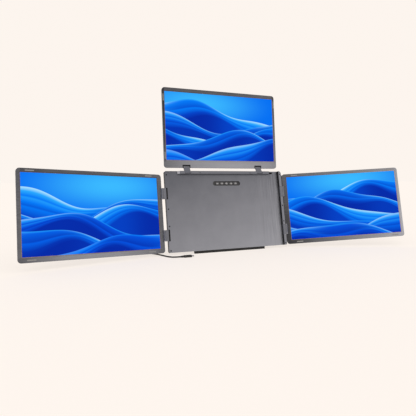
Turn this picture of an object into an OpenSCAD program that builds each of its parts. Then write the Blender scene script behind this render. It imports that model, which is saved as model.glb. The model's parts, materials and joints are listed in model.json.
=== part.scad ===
// Laptop screen extender: a standing frame that carries three hinged displays.
// The left and right displays fold flat over the frame one after the other, and the
// upper display folds down over both. Everything is drawn upright in the frame's own
// plane, x to the right, y to the back, z up the frame, and then leaned back.

/* [Displays] */
// Width of the lit picture area
active_w = 344.2; // [330:0.2:356]
// Height of the lit picture area
active_h = 193.6; // [185:0.2:202]
// Thickness of each display
screen_t = 7.4; // [7.2:0.1:9]
// Thickness of the bezel sheet
bezel_t = 1.2; // [0.8:0.1:1.3]
// Thickness of the back cover's floor
cover_t = 1.2; // [0.8:0.1:1.3]
// Thickness of the back cover's side walls
cover_wall = 1.6; // [1.2:0.1:2.4]
// Corner radius of each display
corner_r = 8; // [4:0.5:12]
// Bezel width on a wing's hinge side
bezel_hinge = 12; // [11:0.2:16]
// Bezel width on a wing's free side
bezel_free = 7.4; // [5:0.2:10]
// Bezel width above a wing's picture
bezel_top = 8.4; // [6:0.2:12]
// Bezel width below a wing's picture
bezel_bottom = 11.4; // [9:0.2:15]
// Bezel width beside the upper display's picture
upper_side = 5.4; // [5:0.2:9]
// Bezel width above the upper display's picture
upper_top = 9.2; // [6:0.2:12]
// Bezel width below the upper display's picture
upper_bottom = 20.4; // [19:0.2:26]
// Strip of the picture glass hidden under each bezel
glass_lap = 3; // [2:0.5:3.5]
// Thickness of the picture glass
glass_t = 1.6; // [1.2:0.1:1.7]
// Thickness of the backlight sheet behind the glass
light_t = 1.6; // [1:0.1:1.7]
// Length of a rubber bumper
pad_l = 20; // [12:1:26]
// Width of a rubber bumper
pad_w = 3; // [2:0.2:4]
// Height of a rubber bumper above the bezel
pad_h = 0.4; // [0.2:0.1:0.5]
// Distance of a wing's inner bumpers from its hinge edge
pad_hinge = 38; // [24:1:60]
// Distance of a wing's outer bumpers from its free edge
pad_free = 28.5; // [20:0.5:60]
// Distance of the upper display's lower bumpers from its lower edge
pad_low = 34; // [24:1:60]
// Distance of the upper display's upper bumpers from its upper edge
pad_high = 28; // [20:1:60]
// Width of a display's circuit board
board_w = 90; // [60:1:120]
// Height of a display's circuit board
board_h = 22; // [16:1:30]

/* [Stack] */
// Air left between two folded layers
fold_gap = 0.8; // [0.7:0.1:1.5]
// Side clearance of a folded wing to the right rail
nest_gap = 2; // [0.4:0.1:2]

/* [Frame] */
// Width that the frame has beyond the upper display
frame_extra = 10; // [4:0.5:12]
// Depth of the frame
frame_t = 11; // [10.6:0.2:14]
// Thickness of the front plate
plate_t = 1.6; // [1.2:0.1:1.7]
// Thickness of the back shell's floor
shell_t = 1.4; // [1:0.1:1.6]
// Thickness of the back shell's side walls
shell_wall = 2; // [1.6:0.1:2.6]
// Corner radius of the frame
frame_r = 4; // [3:0.5:7]
// Width of the lip that fills the gap between the raised rail and the right wing
lip_w = 3.4; // [2:0.1:3.4]
// Distance of that lip behind the rail's front
lip_back = 2; // [1:0.1:3]
// Angle by which the frame leans back
lean = 11; // [8:0.5:14]
// Height of the frame's front edge above the table
foot_h = 7; // [6.5:0.1:8]
// Length of the front rubber foot
foot_l = 220; // [120:5:300]
// Width of the raised rail that carries the right wing
rail_w = 8.2; // [7.8:0.1:10]
// Radius of the raised rail's upper outer corner
rail_r = 8; // [4:0.5:8]
// Height of the rail that carries the upper display
top_rail_h = 8; // [7.8:0.1:10]
// Length of the rail that carries the upper display
top_rail_l = 293; // [280:1:320]
// Length of the slope at each end of that rail
rail_slope = 5.5; // [3:0.5:9]
// Drop of that rail below the frame's upper edge
top_rail_drop = 0.8; // [0:0.1:2]
// Depth of the seams in that rail
seam_d = 0.8; // [0.4:0.1:1.2]
// Distance of those seams from the arms
seam_in = 35.5; // [20:0.5:60]
// Radius of a cover screw's head
screw_r = 1.9; // [1.4:0.1:2]
// Width of the latch slot beside the upper display's rail
latch_w = 9; // [6:0.5:12]
// Height of the latch slot
latch_h = 5; // [3:0.5:5.5]

/* [Wing hinges] */
// Height of a hinge block's barrel
hinge_h = 25; // [20:1:30]
// Centre of the lower blocks above the frame's lower edge
hinge_low = 47; // [44:1:50]
// Centre of the upper blocks below the frame's upper edge
hinge_high = 62.5; // [55:0.5:66]
// Radius of a hinge barrel
barrel_r = 3; // [2.6:0.1:3.2]
// Radius of a hinge pin
pin_r = 1.25; // [1:0.05:1.4]
// Distance of a hinge axis in front of the open wing's bezel
axis_drop = 2.2; // [1.8:0.1:2.4]
// Distance of a hinge axis outside the wing's edge
axis_out = 0.4; // [0.2:0.1:0.8]
// Gap between the frame and the right wing
reach_right = 4.2; // [4.2:0.2:9]
// Thickness of a hinge ear
ear_t = 2.4; // [1.8:0.1:3]
// Thickness of a hinge leaf inside the display
leaf_t = 1.4; // [1:0.1:1.4]
// Length of a hinge leaf inside the display
leaf_l = 24; // [18:1:34]
// Depth of the notch in the wing for a hinge block
notch_d = 4.4; // [4.2:0.1:6]
// Width of the notch in the front plate for a left hinge block
slit_w = 5.5; // [4:0.1:6]
// Depth by which a left hinge block reaches into that notch
block_in = 1.6; // [0.5:0.1:2.4]
// Height of a wing above the frame's lower edge
wing_rise = 0.9; // [0.5:0.1:2]
// Forward angle of the left wing at rest
left_angle = 12.8; // [0:0.1:40]
// Forward angle of the right wing at rest
right_angle = 18.7; // [0:0.1:40]

/* [Upper display hinge] */
// Length of a hinge arm between its two pins
arm_l = 20.2; // [19:0.1:24]
// Width of a hinge arm
arm_w = 18.5; // [14:0.5:24]
// Thickness of a hinge arm
arm_t = 2.8; // [2.2:0.1:3]
// Radius of a hinge arm's ends
arm_r = 1.9; // [1.7:0.05:1.95]
// Radius of a hinge arm's pins
arm_pin_r = 1; // [0.8:0.05:1.1]
// Distance of an arm's centre from the end of its rail
arm_end = 33; // [22:0.5:45]
// Backward slant of the arms at rest
arm_slant = 25.4; // [22:0.1:28]
// Height of an arm's upper pin above the display's lower edge
arm_inset = 3.2; // [3:0.1:4]
// Height of a hinge clip inside the upper display
clip_h = 20; // [14:1:30]
// Forward tilt of the upper display against the frame at rest
upper_tilt = 5.5; // [0:0.1:12]

/* [Controls] */
// Distance between two buttons
button_pitch = 14.5; // [13:0.1:16]
// Width of a button
button_w = 9; // [7:0.2:10]
// Height of a button
button_h = 5.6; // [4.4:0.2:6.4]
// Travel of a button
button_travel = 0.8; // [0.5:0.1:1]
// Length of the recess that holds the buttons
recess_l = 86; // [84:1:96]
// Height of the recess that holds the buttons
recess_h = 13; // [11:0.5:14]
// Centre of the recess below the frame's upper edge
recess_drop = 35.5; // [32:0.5:44]

/* [Stand] */
// Distance from the button recess down to the stand's hinge
stand_drop = 28.5; // [26:0.5:70]
// Width of the stand
stand_w = 184; // [140:2:190]
// Thickness of the stand's plate
stand_t = 2.6; // [2:0.1:3]
// Length by which the stand's tip passes the frame's lower edge
stand_over = 3; // [2.6:0.1:4]
// Radius of the stand's barrel
stand_barrel_r = 1.9; // [1.7:0.05:2]
// Radius of the stand's hinge pins
stand_pin_r = 0.9; // [0.7:0.05:1]
// Radius of the stand's rubber foot
stand_foot_r = 2.2; // [2:0.1:2.4]
// Width of the finger notch in the stand's lower edge
finger_w = 60; // [40:1:80]
// Height of that notch
finger_h = 12; // [8:1:20]

/* [Electronics] */
// Width of the rear housing
house_w = 72; // [60:1:80]
// Height of the rear housing
house_h = 90; // [76:1:110]
// Depth of the rear housing
house_d = 8.4; // [8.2:0.1:11]
// Wall of the rear housing
house_wall = 1.6; // [1.2:0.1:2]
// Distance between two vent slots
vent_pitch = 8; // [6:0.5:10]
// Length of a vent slot
vent_l = 18; // [12:1:24]
// Distance between two sockets
socket_pitch = 19; // [16:1:22]
// Thickness of the driver board
board_t = 1.6; // [1:0.1:1.6]

/* [Cord] */
// Diameter of the cord
cord_d = 4; // [3.4:0.1:4.2]
// Middle diameter of the coiled cord
coil_d = 44; // [40:1:48]
// Width of the tie around the coil
tie_w = 8; // [5:1:12]
// Thickness of the tie
tie_t = 0.8; // [0.6:0.1:0.8]

/* [Hidden] */
$fn = 48;
eps = 0.02;
clear = 0.3;            // clearance between pieces that move past each other
run = 0.05;             // radial clearance of a pin in its hole

wing_w = bezel_hinge + active_w + bezel_free;
wing_h = bezel_bottom + active_h + bezel_top;
upper_w = active_w + 2 * upper_side;
upper_h = upper_bottom + active_h + upper_top;
layer = screen_t + fold_gap;

frame_w = upper_w + frame_extra;
nest_top = wing_rise + wing_h + 3 * clear;             // lower face of the top rail
frame_h = nest_top + top_rail_h + top_rail_drop;
half_w = frame_w / 2;
rail_x = half_w - rail_w;
reach_left = wing_w + nest_gap + 2 * axis_out - (frame_w - rail_w);

hinge_z = [hinge_low, frame_h - hinge_high];
left_axis_x = half_w + reach_left - axis_out;
right_axis_x = half_w + reach_right - axis_out;
left_axis_y = axis_drop - fold_gap;
right_axis_y = left_axis_y - layer;
arm_front = left_axis_y;                                // block face ahead of its axis
leaf_y = screen_t - cover_t - leaf_t - 0.1;
block_h = hinge_h + 2 * (clear + ear_t);                // the block is as high as its barrel and ears
notch_h = block_h + 2 * clear;
pin_l = hinge_h + 2 * (clear + ear_t);
tongue_l = 19;
tongue_y = plate_t + clear;
block_back = left_axis_y + barrel_r;

upper_x = -rail_w / 2 + 0.6;                            // centre between left edge and rail
top_rail_y = -layer;
arm_ay = top_rail_y + arm_r + 0.5;
arm_az = frame_h - top_rail_drop - 4.5;
arm_by = arm_ay + arm_l * sin(arm_slant);
arm_bz = arm_az + arm_l * cos(arm_slant);
arm_x = top_rail_l / 2 - arm_end;
arm_depth = arm_r + 0.2;
folded_by = -2 * layer - fold_gap - arm_depth;         // the upper display folds over both wings
arm_psi = asin((arm_ay - folded_by) / arm_l);
pocket_h = arm_inset + (arm_depth + arm_t / 2 / cos(arm_psi)) / tan(arm_psi) + 0.8;
cheek_t = 1.8;
pocket_w = arm_w + 2 * (clear + 0.1 + cheek_t + 0.1);

screw_z = [5.5, hinge_low + block_h / 2 + 9.2, frame_h - hinge_high - block_h / 2 - 27.8,
           frame_h - 10.5];
screw_x = half_w - 5;
rail_screw_x = half_w - rail_w / 2;
boss_r = 2.4;

recess_x = 2;
recess_z = frame_h - recess_drop;
stand_z = recess_z - stand_drop;
recess_floor = plate_t + 1.6;
button_top = 0.6;
flange = 0.8;                                           // button's rim behind the recess

stand_y = frame_t - stand_barrel_r - 0.1;
pocket_floor = stand_y - stand_barrel_r - 0.1;
stand_l = stand_z + stand_over;
stand_hinge_h = foot_h + stand_z * cos(lean) - stand_y * sin(lean);
stand_open = lean + acos((stand_hinge_h - stand_foot_r) / stand_l);
stand_pin_l = 12;
foot_back = stand_y - stand_foot_r - clear;             // front foot ends short of the closed stand's

house_x = -half_w + 6.5;
house_z = hinge_low - 25;
socket_y = frame_t + board_t + 0.6 + 1.6;
socket_z = [for (i = [0 : 2]) hinge_low + i * socket_pitch];
plug_w = 11.5;
plug_t = 6;
plug_l = 20;
tip_w = 8.3;
tip_t = 2.5;
tip_l = 6.2;
relief_l = 10;
socket_wall = 0.45;
socket_l = 8;

cord_r = cord_d / 2;
coil_rise = cord_d * sin(60);                           // second layer lies in the first one's grooves
coil_in = coil_d / 2 - 1.5 * cord_d;
tie_in = sqrt(coil_in * coil_in - tie_w * tie_w / 4) - 0.1;
tie_out = coil_d / 2 + 1.5 * cord_d + 0.1;
coil_at = [-268, 90, 0.8];
// route from the frame's plug down to the coil, in the table's own axes
lead_in = [[-206.9, 23.5, 50.3], [-214, 23.5, 50.3], [-222, 24, 49], [-230, 25.5, 45], [-237, 28, 38.5],
           [-243, 31, 30.5], [-249, 35, 22], [-256, 40, 13.5], [-264, 46, 6.5], [-273, 53, 2.6],
           [-282, 61, 2], [-289.5, 71, 2.4], [-293.5, 81, 2.8], [-294, 90, 2.8]];
// route from the coil under the left wing to the free plug
lead_out = [[-244, 90, 6.3], [-243.5, 81, 5.8], [-241.5, 72, 4], [-238, 62, 2.3], [-232, 52.5, 2],
            [-224.5, 43.5, 2], [-217, 34, 2], [-210.5, 23, 2], [-205.5, 11, 2], [-201, -1, 2],
            [-196.5, -12.5, 2], [-191, -23, 2], [-185, -31, 2.2], [-178, -36.5, 2.7], [-171, -39, 3],
            [-164, -39, 3]];
free_plug_at = [-164, -39, 3];

// ---- helpers

// rounded rectangle with its lower left corner at the origin
module rounded(w, h, r) {
    translate([r, 0]) square([w - 2 * r, h]);
    translate([0, r]) square([w, h - 2 * r]);
    for (x = [r, w - r], z = [r, h - r]) translate([x, z]) circle(r);
}

// upright slab: a flat shape in x and z, t thick towards the back
module slab(t) translate([0, t, 0]) rotate([90, 0, 0]) linear_extrude(t) children();

// flat shape with round ends, centred
module stadium(w, h) {
    square([w - h, h], center = true);
    for (s = [-1, 1]) translate([s * (w - h) / 2, 0]) circle(h / 2);
}

// rod along y
module rod_y(r, l) rotate([-90, 0, 0]) cylinder(r = r, h = l);

// rod along x, centred
module rod_x(r, l) rotate([0, 90, 0]) cylinder(r = r, h = l, center = true);

module leaned() translate([0, 0, foot_h]) rotate([-lean, 0, 0]) children();

module on_right_wing() leaned() translate([right_axis_x, right_axis_y, wing_rise])
    rotate([0, 0, -right_angle]) translate([axis_out, axis_drop, 0]) children();

module on_left_wing() leaned() translate([-left_axis_x, left_axis_y, wing_rise]) mirror([1, 0, 0])
    rotate([0, 0, -left_angle]) translate([axis_out, axis_drop, 0]) children();

module on_upper() leaned() translate([upper_x, arm_by, arm_bz]) rotate([upper_tilt, 0, 0])
    translate([-upper_w / 2, -arm_depth, -arm_inset]) children();

// ---- pieces that every display has, in its own axes: x across, y back, z up

module bezel_sheet(w, h, left, below) difference() {
    slab(bezel_t) rounded(w, h, corner_r);
    translate([left, -1, below]) cube([active_w, bezel_t + 2, active_h]);
}

module cover_tray(w, h) difference() {
    translate([0, bezel_t, 0]) slab(screen_t - bezel_t) rounded(w, h, corner_r);
    translate([cover_wall, bezel_t - 1, cover_wall]) slab(screen_t - cover_t - bezel_t + 1)
        rounded(w - 2 * cover_wall, h - 2 * cover_wall, corner_r - cover_wall);
}

module lcd_glass(left, below) color("midnightblue")
    translate([left - glass_lap, bezel_t + 0.1, below - 2 * glass_lap])
        cube([active_w + 2 * glass_lap, glass_t, active_h + 3 * glass_lap]);

module backlight_sheet(left, below) color("whitesmoke")
    translate([left - glass_lap + 0.5, bezel_t + glass_t + 0.2, below - glass_lap])
        cube([active_w + 2 * glass_lap - 1, light_t, active_h + 2 * glass_lap - 1]);

module panel_board(left, below) color("darkgreen") {
    board_y = bezel_t + glass_t + light_t + 0.3;
    translate([left + active_w / 2 - board_w / 2, board_y, below - glass_lap])
        cube([board_w, 0.9, board_h]);
    for (i = [0 : 2]) translate([left + active_w / 2 + (i / 3 - 0.45) * board_w, board_y + 0.9 - eps,
                                 below - glass_lap + board_h / 4])
        cube([board_h / 2, 0.6, board_h / 2]);
}

module bumper(along_x) color("dimgray") translate([0, -pad_h, 0]) slab(pad_h)
    rotate(along_x ? 0 : 90) stadium(pad_l, pad_w);

module bumpers_at(points, along_x) for (p = points) translate([p[0], 0, p[1]]) bumper(along_x);

// ---- wings

module hinge_places() for (z = hinge_z) translate([0, 0, z - wing_rise]) children();

module wing_notches(depth) hinge_places()
    translate([-1, -1, -notch_h / 2]) cube([notch_d + 1, depth + 1, notch_h]);

module wing_bezel() difference() {
    bezel_sheet(wing_w, wing_h, bezel_hinge, bezel_bottom);
    wing_notches(bezel_t + 1);
}

module wing_cover() difference() {
    cover_tray(wing_w, wing_h);
    wing_notches(leaf_y + leaf_t + 0.1);
}

module wing_bumpers() {
    bumpers_at([for (x = [pad_hinge, wing_w - pad_free],
        z = [bezel_bottom / 2, wing_h - bezel_top / 2 - 1]) [x, z]], true);
}

// leaf screwed inside the wing, with an ear above and below the hinge block
module hinge_leaf() {
    ear_z = hinge_h / 2 + clear;
    difference() {
        union() {
            translate([0.6, leaf_y, -ear_z - ear_t]) cube([leaf_l, leaf_t, 2 * (ear_z + ear_t)]);
            // web that fills the notch behind the barrel
            linear_extrude(2 * (ear_z + eps), center = true) difference() {
                translate([0.6, 0]) square([notch_d - 1.1, leaf_y + eps]);
                translate([-axis_out, -axis_drop]) circle(barrel_r + clear);
            }
            for (s = [-1, 1]) translate([0, 0, s * (ear_z + ear_t / 2) - ear_t / 2])
                linear_extrude(ear_t) {
                    translate([-axis_out, -axis_drop]) circle(barrel_r);
                    polygon([[-axis_out - 0.86 * barrel_r, -axis_drop + 0.48 * barrel_r],
                             [0.9, leaf_y + eps], [notch_d - 1, leaf_y + eps], [notch_d - 1, 1],
                             [-axis_out + 0.93 * barrel_r, -axis_drop - 0.36 * barrel_r]]);
                }
        }
        translate([-axis_out, -axis_drop, 0])
            cylinder(r = pin_r + run, h = pin_l + 2, center = true);
    }
}

module wing_leaves() color("slategray") hinge_places() hinge_leaf();

module wing_pins() color("silver") hinge_places() translate([-axis_out, -axis_drop, 0])
    cylinder(r = pin_r, h = pin_l, center = true);

module left_bezel() color("gray") on_left_wing() wing_bezel();
module left_back_cover() color("dimgray") on_left_wing() wing_cover();
module left_lcd_panel() on_left_wing() lcd_glass(bezel_hinge, bezel_bottom);
module left_backlight() on_left_wing() backlight_sheet(bezel_hinge, bezel_bottom);
module left_panel_board() on_left_wing() panel_board(bezel_hinge, bezel_bottom);
module left_bumpers() on_left_wing() wing_bumpers();
module left_hinge_leaves() on_left_wing() wing_leaves();
module left_hinge_pins() on_left_wing() wing_pins();

module right_bezel() color("gray") on_right_wing() wing_bezel();
module right_back_cover() color("dimgray") on_right_wing() wing_cover();
module right_lcd_panel() on_right_wing() lcd_glass(bezel_hinge, bezel_bottom);
module right_backlight() on_right_wing() backlight_sheet(bezel_hinge, bezel_bottom);
module right_panel_board() on_right_wing() panel_board(bezel_hinge, bezel_bottom);
module right_bumpers() on_right_wing() wing_bumpers();
module right_hinge_leaves() on_right_wing() wing_leaves();
module right_hinge_pins() on_right_wing() wing_pins();

// ---- hinge blocks on the frame

// block in the axes of a right hinge: axis at the origin, frame towards -x
module block_body(arm) difference() {
    union() {
        cylinder(r = barrel_r, h = hinge_h, center = true);
        translate([-arm, -arm_front, -hinge_h / 2]) cube([arm, arm_front + barrel_r, hinge_h]);
        translate([-arm, -arm_front, -block_h / 2])
            cube([arm - barrel_r - 2 * clear, arm_front + barrel_r, block_h]);
    }
    cylinder(r = pin_r + run, h = hinge_h + 2, center = true);
}

module hinge_screw_places(x) for (s = [-1, 1]) translate([x, 0, s * hinge_h / 4]) children();

left_arm = reach_left - axis_out + block_in;
left_tongue_x = -left_arm + block_in - tongue_l;

module left_block() color("darkgray") difference() {
    union() {
        block_body(left_arm);
        translate([left_tongue_x, tongue_y - left_axis_y, -block_h / 2 + 2])
            cube([tongue_l - block_in + 1, block_back - tongue_y, block_h - 4]);
    }
    hinge_screw_places(left_tongue_x + 6) {
        translate([0, -5, 0]) rod_y(1 + run, 20);
        translate([0, tongue_y - left_axis_y - 1, 0]) rod_y(2.1, 1.9);
    }
}

module right_block() color("darkgray") difference() {
    block_body(right_axis_x - rail_x - clear);
    hinge_screw_places(-right_axis_x + rail_screw_x)
        translate([0, barrel_r - 2.4, 0]) rod_y(1 + run, 5);
}

module left_hinge_at(z) leaned() translate([-left_axis_x, left_axis_y, z]) mirror([1, 0, 0]) left_block();
module right_hinge_at(z) leaned() translate([right_axis_x, right_axis_y, z]) right_block();
module left_hinge_upper() left_hinge_at(hinge_z[1]);
module left_hinge_lower() left_hinge_at(hinge_z[0]);
module right_hinge_upper() right_hinge_at(hinge_z[1]);
module right_hinge_lower() right_hinge_at(hinge_z[0]);

left_screw_x = -left_axis_x + -left_tongue_x - 6;
right_block_back = right_axis_y + barrel_r;

module hinge_screws() color("silver") leaned() for (z = hinge_z, s = [-1, 1]) {
    translate([left_screw_x, tongue_y + 0.1, z + s * hinge_h / 4]) {
        rod_y(2, 0.7);
        rod_y(1, 6.4);
    }
    translate([rail_screw_x, plate_t - 1.4, z + s * hinge_h / 4]) {
        rod_y(2, 1.2);
        translate([0, right_block_back - 2.2 - plate_t + 1.4, 0])
            rod_y(1, plate_t - 1.3 - right_block_back + 2.2);
    }
}

// ---- frame

module frame_rounded(inset, r) translate([-half_w + inset, inset])
    rounded(frame_w - 2 * inset, frame_h - 2 * inset, r - inset);

// front outline, with a larger radius at the upper right corner
module frame_outline(inset) intersection() {
    frame_rounded(inset, frame_r);
    union() {
        translate([-half_w, 0]) square([half_w, frame_h]);
        translate([-half_w, 0]) square([frame_w, frame_h / 2]);
        frame_rounded(inset, rail_r);
    }
}

module frame_back_shell() color("dimgray") leaned() difference() {
    union() {
        difference() {
            translate([0, plate_t, 0]) slab(frame_t - plate_t) frame_outline(0);
            difference() {
                translate([0, plate_t - 1, 0]) slab(frame_t - shell_t - plate_t + 1)
                    frame_outline(shell_wall);
                translate([-stand_w / 2 - 4, pocket_floor - shell_t, 0])
                    cube([stand_w + 8, frame_t, stand_z + 6]);
            }
        }
        for (z = screw_z) {
            translate([-screw_x, plate_t, z]) rod_y(boss_r, frame_t - plate_t - eps);
            translate([rail_screw_x, plate_t, z]) rod_y(boss_r, frame_t - plate_t - eps);
        }
        for (z = hinge_z, s = [-1, 1]) translate([left_screw_x, block_back, z + s * hinge_h / 4])
            rod_y(3.2, frame_t - block_back - eps);
    }
    // stand pocket, open at the lower edge, with the holes for its pins
    translate([-stand_w / 2 - 0.5, pocket_floor, -1])
        cube([stand_w + 1, frame_t, stand_z + stand_barrel_r + 1.5]);
    translate([0, stand_y, stand_z]) rod_x(stand_pin_r + run, stand_w + 6);
    // left wall open for the hinge blocks
    for (z = hinge_z) translate([-half_w - 1, plate_t - 1, z - block_h / 2 - 0.4])
        cube([shell_wall + 2, block_back - plate_t + 1.2, block_h + 0.8]);
    // screw holes
    for (z = screw_z, x = [-screw_x, rail_screw_x]) translate([x, plate_t - 1, z]) rod_y(0.85, 7);
    for (z = hinge_z, s = [-1, 1]) {
        translate([left_screw_x, block_back - 1, z + s * hinge_h / 4]) rod_y(1 + run, 5);
    }
    // cable way into the rear housing
    translate([house_x + 20, frame_t - shell_t - 1, house_z + house_h / 2])
        slab(shell_t + 2) stadium(24, 6);
}

module frame_front_plate() color("gray") leaned() difference() {
    slab(plate_t) intersection() {
        frame_outline(0);
        translate([-half_w, 0]) square([frame_w - rail_w - 0.2, frame_h]);
    }
    translate([recess_x, -1, recess_z]) slab(plate_t + 2) stadium(recess_l, recess_h);
    translate([top_rail_l / 2 + 0.5, -1, nest_top + 1]) cube([latch_w, plate_t + 2, latch_h]);
    for (z = hinge_z) translate([-half_w - 1, -1, z - block_h / 2 - 0.4])
        cube([1 + slit_w, plate_t + 2, block_h + 0.8]);
    for (z = screw_z) translate([-screw_x, -1, z]) rod_y(screw_r + 0.1, plate_t + 2);
}

module right_hinge_rail() color("darkgray") leaned() difference() {
    union() {
        translate([0, -layer, 0]) slab(layer + plate_t) intersection() {
            frame_outline(0);
            translate([rail_x, 0]) square([rail_w, frame_h]);
        }
        translate([half_w - 1, -layer + lip_back, rail_r]) cube([lip_w + 1, layer - lip_back,
                                                                frame_h - 2.5 * rail_r]);
    }
    for (z = hinge_z) {
        translate([rail_x - 1, -layer - 1, z - block_h / 2 - 0.3])
            cube([rail_w + lip_w + 2, layer + 1 + right_block_back, block_h + 0.6]);
        translate([right_axis_x - barrel_r - clear, -layer - 1, z - notch_h / 2])
            cube([lip_w + 1, layer + 2, notch_h]);
        for (s = [-1, 1]) translate([rail_screw_x, right_block_back - 1, z + s * hinge_h / 4]) {
            rod_y(1 + run, 12);
            translate([0, 1 + plate_t - 1.4 - right_block_back, 0]) rod_y(2.1, 5);
        }
    }
    for (z = screw_z) translate([rail_screw_x, -layer - 1, z]) {
        rod_y(screw_r + 0.1, 1 + plate_t);
        rod_y(0.85, layer + plate_t + 2);
    }
}

module top_hinge_rail() color("darkgray") leaned() difference() {
    translate([0, 0, nest_top]) linear_extrude(top_rail_h) polygon([
        [-top_rail_l / 2, 0], [-top_rail_l / 2, -2], [-top_rail_l / 2 + rail_slope, top_rail_y],
        [top_rail_l / 2 - rail_slope, top_rail_y], [top_rail_l / 2, -2], [top_rail_l / 2, 0]]);
    for (s = [-1, 1]) translate([upper_x, 0, 0]) {
        translate([s * arm_x - arm_w / 2 - clear, top_rail_y - 1, arm_az - arm_r - 0.6])
            cube([arm_w + 2 * clear, -top_rail_y, top_rail_h + 2]);
        translate([s * arm_x, arm_ay, arm_az]) rod_x(arm_pin_r + run, arm_w + 8);
        translate([s * (arm_x - seam_in) - 0.5, top_rail_y - 1, nest_top - 1])
            cube([1, 1 + seam_d, top_rail_h + 2]);
    }
}

module cover_screw(l) {
    difference() {
        rod_y(screw_r, plate_t - 0.1);
        translate([-0.9, -1, -0.2]) cube([1.8, 1.5, 0.4]);
        translate([-0.2, -1, -0.9]) cube([0.4, 1.5, 1.8]);
    }
    translate([0, plate_t - 0.2, 0]) rod_y(0.8, l);
}

module plate_screws() color("black") leaned() for (z = screw_z)
    translate([-screw_x, 0.1, z]) cover_screw(5);
module rail_screws() color("black") leaned() for (z = screw_z)
    translate([rail_screw_x, -layer + 0.1, z]) cover_screw(layer + 4);

function table_z(y) = (y * sin(lean) - foot_h) / cos(lean);

module frame_foot() color("black") leaned() translate([-foot_l / 2, 0, 0]) rotate([90, 0, 90])
    linear_extrude(foot_l) polygon([[0.4, 0], [foot_back, 0], [foot_back, table_z(foot_back)],
        [0.4, table_z(0.4)]]);

// ---- controls

module button_places(i) translate([recess_x + (i - 3) * button_pitch, 0, recess_z]) children();

module button_bezel() color("black") leaned() difference() {
    translate([recess_x, plate_t, recess_z]) slab(recess_floor + 1 - plate_t)
        stadium(recess_l + 3, recess_h + 3);
    translate([recess_x, plate_t - 1, recess_z]) slab(recess_floor - plate_t + 1)
        stadium(recess_l - 1, recess_h - 1);
    for (i = [1 : 5]) button_places(i)
        slab(10) stadium(button_w + 2 * 0.25, button_h + 2 * 0.25);
}

module button(i) color("gainsboro") leaned() button_places(i) {
    translate([0, button_top, 0]) slab(recess_floor + 1 + 0.2 - button_top + 0.6)
        stadium(button_w, button_h);
    translate([0, recess_floor + 1 + 0.05, 0]) slab(0.75)
        stadium(button_w + 2 * flange, button_h + 2 * flange);
}
module button_1() button(1);
module button_2() button(2);
module button_3() button(3);
module button_4() button(4);
module button_5() button(5);

key_y = recess_floor + 1 + 0.8 + button_travel + 0.1;

module key_board() color("darkgreen") leaned() {
    translate([recess_x - recess_l / 2, key_y + 0.9, recess_z - recess_h / 2])
        cube([recess_l, 1, recess_h]);
    for (i = [1 : 5]) button_places(i) translate([-2, key_y, -2]) cube([4, 0.9 + eps, 4]);
    for (x = [-1, 1]) translate([recess_x + x * (recess_l / 2 - 4), recess_floor + 1, recess_z])
        rod_y(1.6, key_y - recess_floor);
}

// ---- stand

module in_stand() leaned() translate([0, stand_y, stand_z]) rotate([stand_open, 0, 0]) children();

module stand_plate() color("darkgray") in_stand() difference() {
    union() {
        translate([-stand_w / 2, -stand_t / 2, -stand_l]) slab(stand_t)
            rounded(stand_w, stand_l, frame_r);
        rod_x(stand_barrel_r, stand_w);
    }
    translate([-stand_w, -5, -stand_l - 5]) cube([2 * stand_w, 10, 5 + 1.2]);
    translate([0, -5, -stand_l]) slab(10) stadium(finger_w, 2 * finger_h);
    rod_x(stand_pin_r + run, stand_w + 2);
}

module stand_pins() color("silver") in_stand() for (s = [-1, 1])
    translate([s * (stand_w / 2 + 2.8 - stand_pin_l / 2), 0, 0]) rod_x(stand_pin_r, stand_pin_l);

module stand_foot() color("black") in_stand() for (s = [-1, 1])
    translate([s * (stand_w + finger_w) / 4, 0, -stand_l]) difference() {
        rod_x(stand_foot_r, (stand_w - finger_w) / 2 - 8);
        translate([-stand_w, -stand_t / 2, 1.2]) cube([2 * stand_w, stand_t, 5]);
    }

// ---- rear housing and sockets

module rear_housing() color("dimgray") leaned() difference() {
    translate([house_x, frame_t, house_z]) slab(house_d) rounded(house_w, house_h, 3);
    translate([house_x + house_wall, frame_t - 1, house_z + house_wall])
        slab(house_d - house_wall + 1) rounded(house_w - 2 * house_wall, house_h - 2 * house_wall, 2);
    for (z = socket_z) translate([house_x - 1, socket_y, z]) rotate([0, 90, 0])
        linear_extrude(house_wall + 2) stadium(tip_w + 2.2, tip_t + 2.2);
    for (i = [0 : 5]) translate([house_x + house_w / 2 + (i - 2.5) * vent_pitch,
                                 frame_t + house_d - house_wall - 1, house_z + house_h - vent_l])
        slab(house_wall + 2) rotate(90) stadium(vent_l, 2.4);
}

module driver_board() color("darkgreen") leaned() {
    translate([house_x + house_wall + 0.4, frame_t + 0.3, house_z + 6])
        cube([house_w - 2 * house_wall - 6, board_t, house_h - 12]);
    for (z = [20, 44]) translate([house_x + 26, frame_t + 0.3 + board_t - eps, house_z + z])
        cube([16, 1.6, 16]);
}

// sockets open to the left, in the housing's end wall
module signal_sockets() color("silver") leaned() for (z = socket_z)
    translate([house_x + 0.2, socket_y, z]) rotate([0, 90, 0]) {
        difference() {
            linear_extrude(socket_l) stadium(tip_w + 0.4 + 2 * socket_wall, tip_t + 0.4 + 2 * socket_wall);
            translate([0, 0, -1]) linear_extrude(socket_l) stadium(tip_w + 0.4, tip_t + 0.4);
        }
        translate([-(tip_w - 2) / 2, -0.35, 1]) cube([tip_w - 2, 0.7, socket_l - 1.5]);
    }

// ---- upper display and its hinge

module pocket_places() for (s = [-1, 1]) translate([upper_w / 2 + s * arm_x, 0, 0]) children();

module upper_pockets(depth) pocket_places() translate([-pocket_w / 2, -1, -1])
    cube([pocket_w, depth + 1, pocket_h + 1]);

module upper_bezel() color("gray") on_upper() difference() {
    bezel_sheet(upper_w, upper_h, upper_side, upper_bottom);
    upper_pockets(bezel_t + 1);
}

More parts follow.
